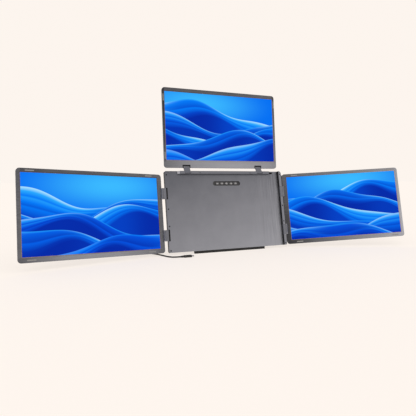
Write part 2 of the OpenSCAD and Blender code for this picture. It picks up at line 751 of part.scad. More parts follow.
module upper_back_cover() color("dimgray") on_upper() difference() {
    cover_tray(upper_w, upper_h);
    upper_pockets(leaf_y + 0.5 + clear);
}

module upper_lcd_panel() on_upper() lcd_glass(upper_side, upper_bottom);
module upper_backlight() on_upper() backlight_sheet(upper_side, upper_bottom);
module upper_panel_board() on_upper() panel_board(upper_side, upper_bottom);

module upper_bumpers() on_upper() bumpers_at([for (x = [upper_side / 2, upper_w - upper_side / 2],
    z = [pad_low, upper_h - pad_high]) [x, z]], false);

module upper_hinge_clips() color("slategray") on_upper() pocket_places() difference() {
    union() {
        translate([-pocket_w / 2 + 0.1, leaf_y, cover_wall + 0.2])
            cube([pocket_w - 0.2, leaf_t, clip_h]);
        for (s = [-1, 1]) translate([s * (arm_w / 2 + clear + 0.1 + cheek_t / 2) - cheek_t / 2, 0.3, 0.6])
            cube([cheek_t, leaf_y + 0.2, 6]);
    }
    translate([0, arm_depth, arm_inset]) rod_x(arm_pin_r + run, pocket_w + 2);
}

module upper_pins() color("silver") on_upper() pocket_places()
    translate([0, arm_depth, arm_inset]) rod_x(arm_pin_r, pocket_w - 0.4);

module hinge_arm(s) color("darkgray") leaned() translate([upper_x + s * arm_x, arm_ay, arm_az])
    rotate([-arm_slant, 0, 0]) difference() {
        union() {
            translate([-arm_w / 2, -arm_t / 2, 0]) cube([arm_w, arm_t, arm_l]);
            for (z = [0, arm_l]) translate([0, 0, z]) rod_x(arm_r, arm_w);
        }
        for (z = [0, arm_l]) translate([0, 0, z]) rod_x(arm_pin_r + run, arm_w + 2);
    }
module arm_left() hinge_arm(-1);
module arm_right() hinge_arm(1);

module rail_pins() color("silver") leaned() for (s = [-1, 1])
    translate([upper_x + s * arm_x, arm_ay, arm_az]) rod_x(arm_pin_r, arm_w + 7.6);

// ---- cord

// plug along +z, tip upwards, the wide side along x
module usb_plug() {
    linear_extrude(plug_l) stadium(plug_w, plug_t);
    translate([0, 0, plug_l - eps]) linear_extrude(tip_l + 0.3) difference() {
        stadium(tip_w, tip_t);
        square([tip_w - 1.4, 1], center = true);
    }
    translate([0, 0, -relief_l]) cylinder(r1 = cord_r + 0.3, r2 = cord_r + 0.9, h = relief_l + eps);
}

module cord_plug() color("black") leaned() translate([house_x - 0.4 - plug_l, socket_y, hinge_low])
    rotate([0, 90, 0]) usb_plug();

module free_plug() color("black") translate(free_plug_at) translate([relief_l, 0, 0])
    rotate([0, 90, 0]) rotate(90) usb_plug();

function unit(v) = v / norm(v);
function tangent(p, i) = i == 0 ? unit(p[1] - p[0])
    : i == len(p) - 1 ? unit(p[i] - p[i - 1]) : unit(unit(p[i] - p[i - 1]) + unit(p[i + 1] - p[i]));

// rings of the swept cord: each ring stands square to the route
sides = 8;
function side_axis(t) = unit(cross(t, abs(t[2]) > 0.9 ? [0, 1, 0] : [0, 0, 1]));
function ring(p, i) = let (t = tangent(p, i), a = side_axis(t), b = cross(t, a))
    [for (k = [0 : sides - 1]) p[i] + cord_r * (cos(k * 360 / sides) * a + sin(k * 360 / sides) * b)];

module swept(p) {
    last = (len(p) - 1) * sides;
    polyhedron(
        points = [for (i = [0 : len(p) - 1]) each ring(p, i)],
        faces = concat(
            [[for (k = [0 : sides - 1]) k]],
            [for (i = [0 : len(p) - 2], k = [0 : sides - 1]) let (n = (k + 1) % sides)
                [i * sides + k, (i + 1) * sides + k, (i + 1) * sides + n, i * sides + n]],
            [[for (k = [sides - 1 : -1 : 0]) last + k]]));
}

module cord_lead() color("black") {
    swept(lead_in);
    swept(lead_out);
}

module cord_coil() color("black") translate(coil_at) rotate_extrude() translate([coil_d / 2, 0])
    polygon([[-1.5 * cord_d, 0], [1.5 * cord_d, 0], [1.5 * cord_d, cord_d], [cord_d, cord_d + coil_rise],
             [-cord_d, cord_d + coil_rise], [-1.5 * cord_d, cord_d]]);

module cord_tie() color("dimgray") translate(coil_at) rotate(90)
    translate([tie_in, -tie_w / 2, 0]) difference() {
        translate([-tie_t, 0, -coil_at[2]])
            cube([tie_out - tie_in + 2 * tie_t, tie_w, cord_d + coil_rise + coil_at[2] + tie_t]);
        translate([0, -1, 0]) cube([tie_out - tie_in, tie_w + 2, cord_d + coil_rise]);
    }

frame_back_shell();
frame_front_plate();
right_hinge_rail();
top_hinge_rail();
plate_screws();
rail_screws();
hinge_screws();
frame_foot();
button_bezel();
key_board();
button_1();
button_2();
button_3();
button_4();
button_5();
rear_housing();
driver_board();
signal_sockets();
stand_plate();
stand_pins();
stand_foot();
left_hinge_upper();
left_hinge_lower();
right_hinge_upper();
right_hinge_lower();
left_bezel();
left_back_cover();
left_lcd_panel();
left_backlight();
left_panel_board();
left_bumpers();
left_hinge_leaves();
left_hinge_pins();
right_bezel();
right_back_cover();
right_lcd_panel();
right_backlight();
right_panel_board();
right_bumpers();
right_hinge_leaves();
right_hinge_pins();
upper_bezel();
upper_back_cover();
upper_lcd_panel();
upper_backlight();
upper_panel_board();
upper_bumpers();
upper_hinge_clips();
upper_pins();
arm_left();
arm_right();
rail_pins();
cord_plug();
cord_lead();
cord_coil();
cord_tie();
free_plug();
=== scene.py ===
import json
import math
import bpy
from mathutils import Matrix, Vector


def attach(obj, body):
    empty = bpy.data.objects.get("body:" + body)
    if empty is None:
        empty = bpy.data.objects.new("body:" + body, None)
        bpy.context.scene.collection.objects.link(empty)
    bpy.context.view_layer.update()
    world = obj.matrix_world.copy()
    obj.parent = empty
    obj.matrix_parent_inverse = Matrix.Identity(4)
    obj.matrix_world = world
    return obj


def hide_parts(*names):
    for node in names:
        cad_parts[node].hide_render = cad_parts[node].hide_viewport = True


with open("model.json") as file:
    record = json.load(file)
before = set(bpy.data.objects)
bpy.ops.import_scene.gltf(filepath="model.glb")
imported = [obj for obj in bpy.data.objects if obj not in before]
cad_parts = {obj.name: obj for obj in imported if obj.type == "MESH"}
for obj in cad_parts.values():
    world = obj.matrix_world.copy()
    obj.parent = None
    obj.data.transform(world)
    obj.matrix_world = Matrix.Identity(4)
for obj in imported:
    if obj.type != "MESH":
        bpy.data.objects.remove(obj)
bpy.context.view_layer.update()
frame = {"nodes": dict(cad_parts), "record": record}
print("loaded the frame with", len(frame["nodes"]), "nodes")

mm = 0.001
bodyOf = {node: body for body, nodes in frame["record"]["behaviour"]["bodies"].items() for node in nodes}


def deselectAll():
    if bpy.context.object and bpy.context.object.mode != "OBJECT":
        bpy.ops.object.mode_set(mode="OBJECT")
    bpy.ops.object.select_all(action="DESELECT")


def pick(thing):
    deselectAll()
    thing.select_set(True)
    bpy.context.view_layer.objects.active = thing


# camera: stands to the left of the frame, a little above its middle

view = {
    "place": (-0.4939, -1.0393, 0.2109),
    "turn": -22.15,       # degrees from straight ahead, to the right
    "down": 4.37,
    "lens": 35.25,        # mm
    "sensor": 36,
}


def makeCamera():
    deselectAll()
    bpy.ops.object.camera_add(
        location=view["place"],
        rotation=(math.radians(90 - view["down"]), 0, math.radians(view["turn"])))
    camera = bpy.context.object
    camera.name = "camera"
    camera.data.lens = view["lens"]
    camera.data.sensor_width = view["sensor"]
    camera.data.clip_start = 0.01
    bpy.context.scene.camera = camera


makeCamera()

# signal lead: from the socket down to a coil behind the left display, and under it to the free plug

lead = {
    "diameter": 4.0,
    "coilMiddle": (-268, 90),
    "coilLow": 2.8,           # height of the lower layer's middle
    "coilHigh": 6.3,
    "layerRadii": [26, 22, 18, 20, 24],
    "turns": 4.5,
    "shift": 0.09,            # part of a turn in which the radius changes, before and after its end
    "climb": (2.86, 3.04),    # the turns between which the lead climbs to the upper layer
    "stepsPerTurn": 20,
    "into": [(-206.9, 23.5, 50.3), (-214, 23.5, 50.3), (-222, 24, 49), (-230, 25.5, 45),
             (-237, 28, 38.5), (-243, 31, 30.5), (-249, 35, 22), (-256, 40, 13.5), (-264, 46, 6.5),
             (-273, 53, 2.6), (-282, 61, 2), (-289.5, 71, 2.4), (-293.5, 81, 2.8)],
    "out": [(-243.5, 81, 5.8), (-241.5, 72, 4), (-238, 62, 2.3), (-232, 52.5, 2), (-224.5, 43.5, 2),
            (-217, 34, 2), (-210.5, 23, 2), (-205.5, 11, 2), (-201, -1, 2), (-196.5, -12.5, 2),
            (-191, -23, 2), (-185, -31, 2.2), (-178, -36.5, 2.7), (-171, -39, 3), (-164, -39, 3)],
}


def easeStep(low, high, x):
    t = min(max((x - low) / (high - low), 0), 1)
    return t * t * (3 - 2 * t)


def coilPoint(turn):
    radii = lead["layerRadii"]
    radius = radii[0]
    for k in range(1, len(radii)):
        radius += (radii[k] - radii[k - 1]) * easeStep(k - lead["shift"], k + lead["shift"], turn)
    rise = easeStep(*lead["climb"], turn)
    angle = math.pi - 2 * math.pi * turn
    x, y = lead["coilMiddle"]
    z = lead["coilLow"] + (lead["coilHigh"] - lead["coilLow"]) * rise
    return (x + radius * math.cos(angle), y + radius * math.sin(angle), z)


def makeLead():
    steps = round(lead["turns"] * lead["stepsPerTurn"])
    coil = [coilPoint(i / lead["stepsPerTurn"]) for i in range(steps + 1)]
    route = [Vector(p) * mm for p in lead["into"] + coil + lead["out"]]
    curve = bpy.data.curves.new("signalLead", "CURVE")
    curve.dimensions = "3D"
    spline = curve.splines.new("BEZIER")
    spline.bezier_points.add(len(route) - 1)
    for point, place in zip(spline.bezier_points, route):
        point.co = place
        point.handle_left_type = point.handle_right_type = "AUTO"
        point.radius = lead["diameter"] / 2 * mm      # times a depth of 1
    spline.resolution_u = 4
    curve.bevel_depth = 1
    curve.bevel_resolution = 3
    curve.use_fill_caps = True
    cord = bpy.data.objects.new("signalLead", curve)
    bpy.context.collection.objects.link(cord)
    length = sum((b - a).length for a, b in zip(route, route[1:]))
    print("signal lead:", round(length, 4), "m")
    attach(cord, "frame")
    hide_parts("cord_lead", "cord_coil")
    return cord, route, length


signalLead, leadRoute, leadLength = makeLead()
print("camera and lead stand")

# each display and the frame have axes of their own in mm: x across, y back, z up

places = {
    "lean": 11, "footHeight": 7,
    "rightHinge": (186.3, -6.8, 0.9), "rightAngle": 18.7,
    "leftHinge": (-191.7, 1.4, 0.9), "leftAngle": 12.8,
    "hingeToCorner": (0.4, 2.2, 0),
    "upperPin": (-3.5, 2.8645, 236.947), "upperTilt": 5.5, "pinToCorner": (-177.5, -2.1, -3.2),
}


def turned(degrees, axis):
    return Matrix.Rotation(math.radians(degrees), 4, axis)


def moved(point):
    return Matrix.Translation(point)


frameAxes = moved((0, 0, places["footHeight"])) @ turned(-places["lean"], "X")
mirrorX = Matrix.Scale(-1, 4, (1, 0, 0))
axesOf = {
    "frame": frameAxes,
    "right": frameAxes @ moved(places["rightHinge"]) @ turned(-places["rightAngle"], "Z")
    @ moved(places["hingeToCorner"]),
    "left": frameAxes @ moved(places["leftHinge"]) @ mirrorX @ turned(-places["leftAngle"], "Z")
    @ moved(places["hingeToCorner"]),
    "upper": frameAxes @ moved(places["upperPin"]) @ turned(places["upperTilt"], "X")
    @ moved(places["pinToCorner"]),
    "table": Matrix.Identity(4),
}
inMetres = Matrix.Scale(mm, 4)


class Wire:                                   # one output socket, which can stand in a sum
    def __init__(self, socket):
        self.socket = socket
        self.tree = socket.id_data

    def node(self, kind, settings=None, values=None, out=0):
        node = self.tree.nodes.new(kind)
        for name, value in (settings or {}).items():
            if name == "stops":
                ramp = node.color_ramp
                while len(ramp.elements) < len(value):
                    ramp.elements.new(0.5)
                for stop, (place, colour) in zip(ramp.elements, value):
                    stop.position = place
                    stop.color = colour
            else:
                setattr(node, name, value)
        for name, value in (values or {}).items():
            if isinstance(value, Wire):
                self.tree.links.new(value.socket, node.inputs[name])
            else:
                node.inputs[name].default_value = value
        return Wire(node.outputs[out])

    def math(self, operation, *values):
        return self.node("ShaderNodeMath", {"operation": operation}, dict(enumerate(values)))

    def __add__(self, other):
        return self.math("ADD", self, other)

    def __sub__(self, other):
        return self.math("SUBTRACT", self, other)

    def __mul__(self, other):
        return self.math("MULTIPLY", self, other)

    def __truediv__(self, other):
        return self.math("DIVIDE", self, other)

    def __rsub__(self, other):
        return self.math("SUBTRACT", other, self)

    __radd__ = __add__
    __rmul__ = __mul__

    def sine(self):
        return self.math("SINE", self)

    def step(self, low, high):                # 0 below low, 1 above high, soft between
        return self.node("ShaderNodeMapRange", {"interpolation_type": "SMOOTHSTEP"},
                         {"Value": self, "From Min": low, "From Max": high})

    def ramp(self, stops):
        return self.node("ShaderNodeValToRGB", {"stops": stops}, {"Fac": self})

    def mix(self, first, second):             # this wire is the factor between two colours
        return self.node("ShaderNodeMix", {"data_type": "RGBA"}, {0: self, 6: first, 7: second}, 2)

    def stretched(self, factors):             # vector times vector
        return self.node("ShaderNodeVectorMath", {"operation": "MULTIPLY"}, {0: self, 1: factors})

    def part(self, index):
        return self.node("ShaderNodeSeparateXYZ", None, {"Vector": self}, index)

    def noise(self, scale, detail=3.0, roughness=0.55):
        return self.node("ShaderNodeTexNoise", None,
                         {"Vector": self, "Scale": scale, "Detail": detail, "Roughness": roughness})


def tone(level, warmth=0.0):                  # a grey from 0 to 255 as displayed, warmer or cooler
    def linear(c):
        c = min(max(c / 255, 0), 1)
        return c / 12.92 if c <= 0.04045 else ((c + 0.055) / 1.055) ** 2.4
    return (linear(level + warmth * 0.6), linear(level), linear(level - warmth * 2), 1)


def shown(red, green, blue):                  # a colour as displayed, from 0 to 255
    return (tone(red)[0], tone(green)[1], tone(blue)[2], 1)


def startMaterial(name, axes, rough, metal=0.0, coat=0.0, specular=0.5):
    material = bpy.data.materials.new(name)
    material.use_nodes = True
    tree = material.node_tree
    shader = tree.nodes["Principled BSDF"]
    shader.inputs["Roughness"].default_value = rough
    shader.inputs["Metallic"].default_value = metal
    shader.inputs["Coat Weight"].default_value = coat
    shader.inputs["Specular IOR Level"].default_value = specular
    coordinate = tree.nodes.new("ShaderNodeTexCoord")
    flat = axesOf[axes].copy()
    if flat.determinant() < 0:
        flat = flat @ mirrorX
    place = Wire(coordinate.outputs["Object"])
    here = place.node("ShaderNodeMapping", {"vector_type": "TEXTURE"},    # in mm along the piece's own axes
                      {"Vector": place, "Location": flat.to_translation() * mm,
                       "Rotation": flat.to_euler(), "Scale": (mm, mm, mm)})
    return material, shader, here


def feed(shader, name, wire):
    wire.tree.links.new(wire.socket, shader.inputs[name])


def feedBump(shader, height, distance):       # distance in mm
    feed(shader, "Normal", height.node("ShaderNodeBump", None, {
        "Height": height, "Distance": distance * mm, "Strength": 1.0}))


finishes = {}


def oncePerPiece(make):                       # the same material serves all that has the same axes
    def find(name, axes, *values, **settings):
        key = name + axes.capitalize()
        if key not in finishes:
            finishes[key] = make(key, axes, *values, **settings)
        return finishes[key]
    return find


def acrossSheet(here, corners, size, start):  # painted light and shade: values at a sheet's four corners, and more painted sheen at its low middle
    lowLeft, lowRight, highLeft, highRight, swell = (*corners, 0)[:5]
    u = (here.part(0) - start) / size[0]
    v = here.part(2) / size[1]
    low = u * (lowRight - lowLeft) + lowLeft
    if swell:
        low = low + u * (1 - u) * (swell * 4)
    high = u * (highRight - highLeft) + highLeft
    return low + (high - low) * v


evenSheet = (0.5, 0.5, 0.5, 0.5)
frameSize = (365, 224)


@oncePerPiece
def brushedMetal(name, axes, dark, light, rough=0.4, metal=0.85, grain=(0.02, 1, 1.6), bump=0.012,
                 corners=evenSheet, size=frameSize, start=0, sides=None):
    material, shader, here = startMaterial(name, axes, rough, metal)
    hairs = here.stretched(grain).noise(2.2, 6, 0.62)
    bands = here.stretched(grain).noise(0.16, 2, 0.5)
    cloud = here.noise(0.018, 3, 0.5)
    mask = hairs * 0.3 + bands * 0.2 + cloud * 0.2 - 0.35 + acrossSheet(here, corners, size, start)
    if sides:                                 # painted shade on the two upright strips, their widths and the sill
        near, far, nearWidth, farWidth, sill = sides
        across = here.part(0) / size[0]
        left, right = nearWidth / abs(size[0]), 1 - farWidth / abs(size[0])
        above = here.part(2).step(sill - 7, sill + 3)
        mask = mask - across.step(left + 0.003, left - 0.001) * above * near
        mask = mask - across.step(right - 0.006, right - 0.002) * above * far
    feed(shader, "Base Color", mask.mix(dark, light))
    feed(shader, "Roughness", hairs * 0.12 + cloud * 0.14 + (rough - 0.13))
    feedBump(shader, hairs, bump)
    return material


@oncePerPiece
def satinMetal(name, axes, dark, light, rough=0.45, metal=0.8, bump=0.01,
               corners=evenSheet, size=frameSize, start=0, streaks=0):
    material, shader, here = startMaterial(name, axes, rough, metal)
    beads = here.noise(5.5, 2, 0.6)
    cloud = here.noise(0.022, 4, 0.5)
    mask = beads * 0.16 + cloud * 0.3 - 0.23 + acrossSheet(here, corners, size, start)
    if streaks:                               # upright hairlines towards the right
        hairs = here.stretched((1, 1, 0.01)).noise(0.8, 3, 0.6)
        mask = mask + (hairs - 0.5) * here.part(0).step(60, 170) * streaks
    feed(shader, "Base Color", mask.mix(dark, light))
    feed(shader, "Roughness", beads * 0.1 + cloud * 0.16 + (rough - 0.13))
    feedBump(shader, beads, bump)
    return material


@oncePerPiece
def mouldedPlastic(name, axes, dark, light, rough=0.5, bump=0.03):
    material, shader, here = startMaterial(name, axes, rough)
    pits = here.node("ShaderNodeTexVoronoi", None, {"Vector": here, "Scale": 2.6})
    cloud = here.noise(0.05, 3)
    feed(shader, "Base Color", (pits * 0.5 + cloud * 0.5).mix(dark, light))
    feed(shader, "Roughness", pits * 0.12 + cloud * 0.1 + (rough - 0.1))
    feedBump(shader, pits, bump)
    return material


@oncePerPiece
def softRubber(name, axes, dark, light, rough=0.78, corners=(0.25, 0.25, 0.25, 0.25), size=frameSize):
    material, shader, here = startMaterial(name, axes, rough, specular=0.3)
    grain = here.noise(3.5, 4, 0.65)
    dust = here.noise(0.12, 3).step(0.52, 0.75)
    mask = grain * 0.4 - 0.2 + dust * 0.3 + acrossSheet(here, corners, size, 0)
    feed(shader, "Base Color", mask.mix(dark, light))
    feed(shader, "Roughness", grain * 0.14 + (rough - 0.07))
    feedBump(shader, grain, 0.04)
    return material


@oncePerPiece
def turnedSteel(name, axes):
    material, shader, here = startMaterial(name, axes, 0.3, 1.0)
    rings = here.stretched((6, 1, 1)).noise(1.4, 4, 0.6)
    feed(shader, "Base Color", rings.mix(tone(150), tone(205)))
    feed(shader, "Roughness", rings * 0.2 + 0.2)
    feedBump(shader, rings, 0.008)
    return material


@oncePerPiece
def blackOxide(name, axes):
    material, shader, here = startMaterial(name, axes, 0.42, 0.5)
    wear = here.noise(1.1, 4, 0.6).step(0.55, 0.8)
    feed(shader, "Base Color", wear.mix(tone(22), tone(62)))
    feed(shader, "Roughness", 0.5 - wear * 0.16)
    feedBump(shader, wear, 0.01)
    return material


@oncePerPiece
def solderMask(name, axes):
    material, shader, here = startMaterial(name, axes, 0.35, coat=0.3)
    across = here.part(0)
    up = here.part(2)
    wander = here.noise(0.25, 2) * 3.0
    traces = ((across + wander) * 2.4).sine().step(0.55, 0.8)
    rows = ((up + wander) * 1.9).sine().step(0.7, 0.9)
    vias = here.node("ShaderNodeTexVoronoi", None, {"Vector": here, "Scale": 0.35}).step(0.16, 0.1)
    green = (traces * 0.7 + rows * 0.3).mix(shown(10, 58, 34), shown(24, 96, 54))
    feed(shader, "Base Color", vias.mix(green, shown(196, 170, 110)))
    feed(shader, "Metallic", vias * 0.8)
    feedBump(shader, traces + rows, 0.03)
    return material


@oncePerPiece
def whiteDiffuser(name, axes):
    material, shader, here = startMaterial(name, axes, 0.6)
    dots = here.node("ShaderNodeTexVoronoi", None, {"Vector": here, "Scale": 0.5, "Randomness": 0.0})
    feed(shader, "Base Color", dots.step(0.12, 0.2).mix(tone(205), tone(238)))
    feedBump(shader, dots, 0.05)
    return material


def cordJacket(name):
    material, shader, here = startMaterial(name, "table", 0.5)
    scuff = here.noise(0.5, 4, 0.6).step(0.5, 0.8)
    grain = here.noise(4.0, 2)
    feed(shader, "Base Color", (scuff * 0.5 + grain * 0.3).mix(tone(9), tone(24)))
    feed(shader, "Roughness", scuff * 0.14 + grain * 0.1 + 0.42)
    feedBump(shader, grain, 0.02)
    return material


def loopTape(name):
    material, shader, here = startMaterial(name, "table", 0.95, specular=0.2)
    weave = here.node("ShaderNodeTexVoronoi", None, {"Vector": here, "Scale": 1.6})
    fuzz = here.noise(6.0, 3)
    feed(shader, "Base Color", (weave * 0.6 + fuzz * 0.4).mix(tone(14), tone(58)))
    feedBump(shader, weave + fuzz * 0.5, 0.25)
    return material


# the colours of the picture on each display, and the swells that overlap in it

picture = {
    "glow": (shown(58, 186, 255), shown(0, 112, 243)), "glowReach": 0.62, "glowShape": (0.7, 2.2),
    "crest": shown(176, 230, 255), "bright": shown(40, 170, 255), "middle": shown(0, 121, 248),
    "deep": shown(0, 81, 222), "night": shown(0, 42, 168),
    "breathing": (1.3, 0.4, 0.8),             # waves in a swell's thickness, their size, its mean
    "sheenWaves": 0.9,
    # height of each swell, its two waves (size, waves across, shift), depth of its shade, how dark
    # it is and where along it the sheen lies
    "left": {"glowAt": (0.62, 0.86), "swells": [
        (0.70, (0.15, 0.62, 2.3), (0.035, 1.9, 0.4), 0.30, 0.0, 0.4),
        (0.55, (0.17, 0.74, 3.6), (0.030, 1.7, 1.2), 0.16, 0.3, 2.6),
        (0.46, (0.15, 0.70, 4.1), (0.045, 1.4, 2.2), 0.22, 0.1, 5.1),
        (0.34, (0.17, 0.66, 0.6), (0.030, 1.8, 3.1), 0.20, 0.5, 1.3),
        (0.20, (0.14, 0.60, 1.5), (0.040, 1.5, 4.4), 0.26, 0.35, 3.9),
        (0.06, (0.16, 0.52, 5.2), (0.020, 1.9, 0.3), 0.30, 0.9, 0.2)]},
    "right": {"glowAt": (0.56, 0.90), "swells": [
        (0.74, (0.13, 0.58, 4.6), (0.040, 1.6, 1.1), 0.26, 0.0, 5.6),
        (0.58, (0.15, 0.72, 5.7), (0.030, 1.9, 3.3), 0.18, 0.25, 1.9),
        (0.47, (0.17, 0.66, 0.9), (0.030, 1.5, 0.2), 0.24, 0.05, 4.2),
        (0.33, (0.15, 0.62, 2.0), (0.045, 1.3, 2.6), 0.20, 0.25, 0.6),
        (0.20, (0.16, 0.68, 3.0), (0.025, 1.8, 5.1), 0.24, 0.3, 3.1),
        (0.05, (0.17, 0.50, 0.4), (0.030, 1.4, 1.9), 0.30, 0.5, 2.2)]},
    "upper": {"glowAt": (0.30, 0.84), "swells": [
        (0.72, (0.16, 0.60, 1.0), (0.035, 1.7, 5.0), 0.26, 0.0, 3.4),
        (0.57, (0.14, 0.70, 2.2), (0.035, 1.5, 0.8), 0.20, 0.35, 0.9),
        (0.44, (0.17, 0.64, 2.9), (0.030, 1.9, 4.0), 0.22, 0.05, 5.3),
        (0.31, (0.14, 0.72, 5.0), (0.040, 1.4, 1.6), 0.18, 0.3, 2.0),
        (0.19, (0.17, 0.58, 4.2), (0.030, 1.6, 2.9), 0.26, 0.3, 4.6),
        (0.04, (0.14, 0.54, 2.4), (0.030, 1.8, 0.9), 0.30, 0.7, 1.1)]},
}


def between(first, second, t):
    return tuple(a + (b - a) * t for a, b in zip(first, second))


def makePictureMaterial(side):
    design = picture[side]
    material, shader, here = startMaterial("picture" + side.capitalize(), side, 0.3, specular=0.0)
    shader.inputs["Base Color"].default_value = (0.002, 0.002, 0.004, 1)
    shader.inputs["Emission Strength"].default_value = 1.0
    spot = here.node("ShaderNodeUVMap", {"uv_map": "picture"})
    across = spot.part(0)
    up = spot.part(1)
    glowX, glowY = design["glowAt"]
    wide, tall = picture["glowShape"]
    reach = (across - glowX) * (across - glowX) * wide + (up - glowY) * (up - glowY) * tall
    colour = reach.math("SQRT", reach).step(0.0, picture["glowReach"]).mix(*picture["glow"])
    fullTurn = 2 * math.pi
    breaths, breathSize, breathMean = picture["breathing"]
    for height, first, second, depth, dark, sheen in design["swells"]:
        bow = up * 0 + height
        for size, waves, shift in (first, second):
            bow = bow + (across * (waves * fullTurn) + shift).sine() * size
        below = bow - up
        spread = (across * (breaths * fullTurn) + sheen * 2).sine() * breathSize + breathMean
        folds = below / (spread * depth)      # 0 at the swell's crest, 1 where it ends
        shade = between(picture["middle"], picture["deep"], min(dark * 2, 1))
        floor = between(picture["deep"], picture["night"], min(dark + 0.45, 1))
        crest = between(picture["crest"], picture["middle"], dark)
        bright = between(picture["bright"], picture["middle"], dark)
        lit = folds.ramp([(0.0, crest), (0.14, bright), (0.3, shade), (0.36, between(bright, shade, 0.4)),
                          (0.5, shade), (0.62, between(shade, floor, 0.6)),
                          (0.68, between(shade, floor, 0.1)), (1.0, floor)])
        dim = folds.ramp([(0.0, bright), (0.09, shade), (0.4, between(shade, floor, 0.7)), (0.47, shade),
                          (0.75, floor), (1.0, picture["night"])])
        along = (across * (picture["sheenWaves"] * fullTurn) + sheen).sine() * 0.5 + 0.5
        body = along.step(0.0, 0.8).mix(dim, lit)
        colour = below.step(-0.0015, 0.0025).mix(colour, body)
    feed(shader, "Emission Color", colour)
    return material


print("finishes are ready")


def camel(node):
    words = node.split("_")
    return words[0] + "".join(w.capitalize() for w in words[1:])


def selectWhere(thing, kind, test):           # test sees the middle, and a FACE's normal or an EDGE's way
    pick(thing)
    bpy.ops.object.mode_set(mode="EDIT")
    bpy.ops.mesh.select_mode(type=kind)
    bpy.ops.mesh.select_all(action="DESELECT")
    bpy.ops.object.mode_set(mode="OBJECT")
    mesh = thing.data
    if kind == "FACE":
        for face in mesh.polygons:
            face.select = test(face.center, face.normal)
    else:
        for edge in mesh.edges:
            a, b = (mesh.vertices[v].co for v in edge.vertices)
            edge.select = test((a + b) / 2, (b - a).normalized())
    bpy.ops.object.mode_set(mode="EDIT")


def selectSharp(thing, test):                 # the edges between faces that meet at an angle
    pick(thing)
    bpy.ops.object.mode_set(mode="EDIT")
    bpy.ops.mesh.select_mode(type="EDGE")
    bpy.ops.mesh.select_all(action="DESELECT")
    bpy.ops.mesh.edges_select_sharp(sharpness=math.radians(35))
    bpy.ops.object.mode_set(mode="OBJECT")
    mesh = thing.data
    ends = [[mesh.vertices[v].co for v in edge.vertices] for edge in mesh.edges]
    kept = [edge.index for edge, (a, b) in zip(mesh.edges, ends) if edge.select and test((a + b) / 2)]
    for part in (mesh.vertices, mesh.edges, mesh.polygons):
        part.foreach_set("select", [False] * len(part))
    for index in kept:
        mesh.edges[index].select = True
        for vertex in mesh.edges[index].vertices:
            mesh.vertices[vertex].select = True
    bpy.ops.object.mode_set(mode="EDIT")


def paintFaces(piece, axes, material, test):  # test sees a face's middle and normal in mm along the axes
    inside = (inMetres @ axesOf[axes]).inverted()
    turn = inside.to_3x3()
    piece.data.materials.append(material)
    slot = len(piece.data.materials) - 1
    for face in piece.data.polygons:
        if test(inside @ face.center, (turn @ face.normal).normalized()):
            face.material_index = slot


def finishPiece(thing, body, replaced=(), smooth=32):
    pick(thing)
    bpy.ops.object.shade_smooth_by_angle(angle=math.radians(smooth))
    even = thing.modifiers.new("evenNormals", "WEIGHTED_NORMAL")   # keeps the large faces flat
    even.keep_sharp = True
    bpy.ops.object.modifier_apply(modifier=even.name)
    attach(thing, body)
    if replaced:
        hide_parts(*replaced)
    return thing


def layIn(thing, axes):                       # from mm along the axes to its place on the table, in metres
    pick(thing)
    thing.matrix_world = inMetres @ axesOf[axes]
    bpy.ops.object.transform_apply(location=True, rotation=True, scale=True)
    bpy.ops.object.mode_set(mode="EDIT")
    bpy.ops.mesh.select_all(action="SELECT")
    bpy.ops.mesh.normals_make_consistent(inside=False)
    bpy.ops.object.mode_set(mode="OBJECT")
    return thing


def joinAll(things, name):
    deselectAll()
    for thing in things:
        thing.select_set(True)
    bpy.context.view_layer.objects.active = things[0]
    if len(things) > 1:
        bpy.ops.object.join()
    whole = bpy.context.object
    whole.name = name
    return whole


def spreadOut(thing, places, scales=()):      # copies with meshes of their own, in place of the first
    twins = []
    for i, place in enumerate(places):
        twin = bpy.data.objects.new(thing.name, thing.data.copy())
        bpy.context.collection.objects.link(twin)
        twin.location = place
        twin.scale = scales[i] if scales else (1, 1, 1)
        pick(twin)
        bpy.ops.object.transform_apply(location=True, rotation=True, scale=True)
        twins.append(twin)
    pick(thing)
    bpy.ops.object.delete()
    return twins


def addBlock(low, high, material, bevel):     # a block with soft edges, in mm
    deselectAll()
    size = [b - a for a, b in zip(low, high)]
    bpy.ops.mesh.primitive_cube_add(size=1, location=[(a + b) / 2 for a, b in zip(low, high)])
    block = bpy.context.object
    block.scale = size
    bpy.ops.object.transform_apply(location=True, rotation=True, scale=True)
    bpy.ops.object.mode_set(mode="EDIT")
    bpy.ops.mesh.select_all(action="SELECT")
    bpy.ops.mesh.bevel(offset=bevel, segments=2, affect="EDGES")
    bpy.ops.object.mode_set(mode="OBJECT")
    block.data.materials.append(material)
    return block


screwHead = {"thick": 0.5, "chamfer": 0.07, "rim": 0.43, "socketDeep": 0.3}   # chamfer, rim: times its radius


def addHeads(places, material, radius=2.1, way=1):   # screw heads with sockets, facing +y or -y, in mm
    deselectAll()
    bpy.ops.mesh.primitive_cylinder_add(vertices=40, radius=radius, depth=screwHead["thick"],
                                        rotation=(math.radians(-90 * way), 0, 0))
    head = bpy.context.object
    bpy.ops.object.transform_apply(location=True, rotation=True, scale=True)
    selectWhere(head, "FACE", lambda middle, normal: normal.y * way > 0.9)
    bpy.ops.mesh.inset(thickness=radius * screwHead["chamfer"], depth=0.08)
    bpy.ops.mesh.inset(thickness=radius * screwHead["rim"], depth=0)
    bpy.ops.mesh.inset(thickness=0.05, depth=-screwHead["socketDeep"])
    bpy.ops.object.mode_set(mode="OBJECT")
    head.data.materials.append(material)
    return spreadOut(head, places)


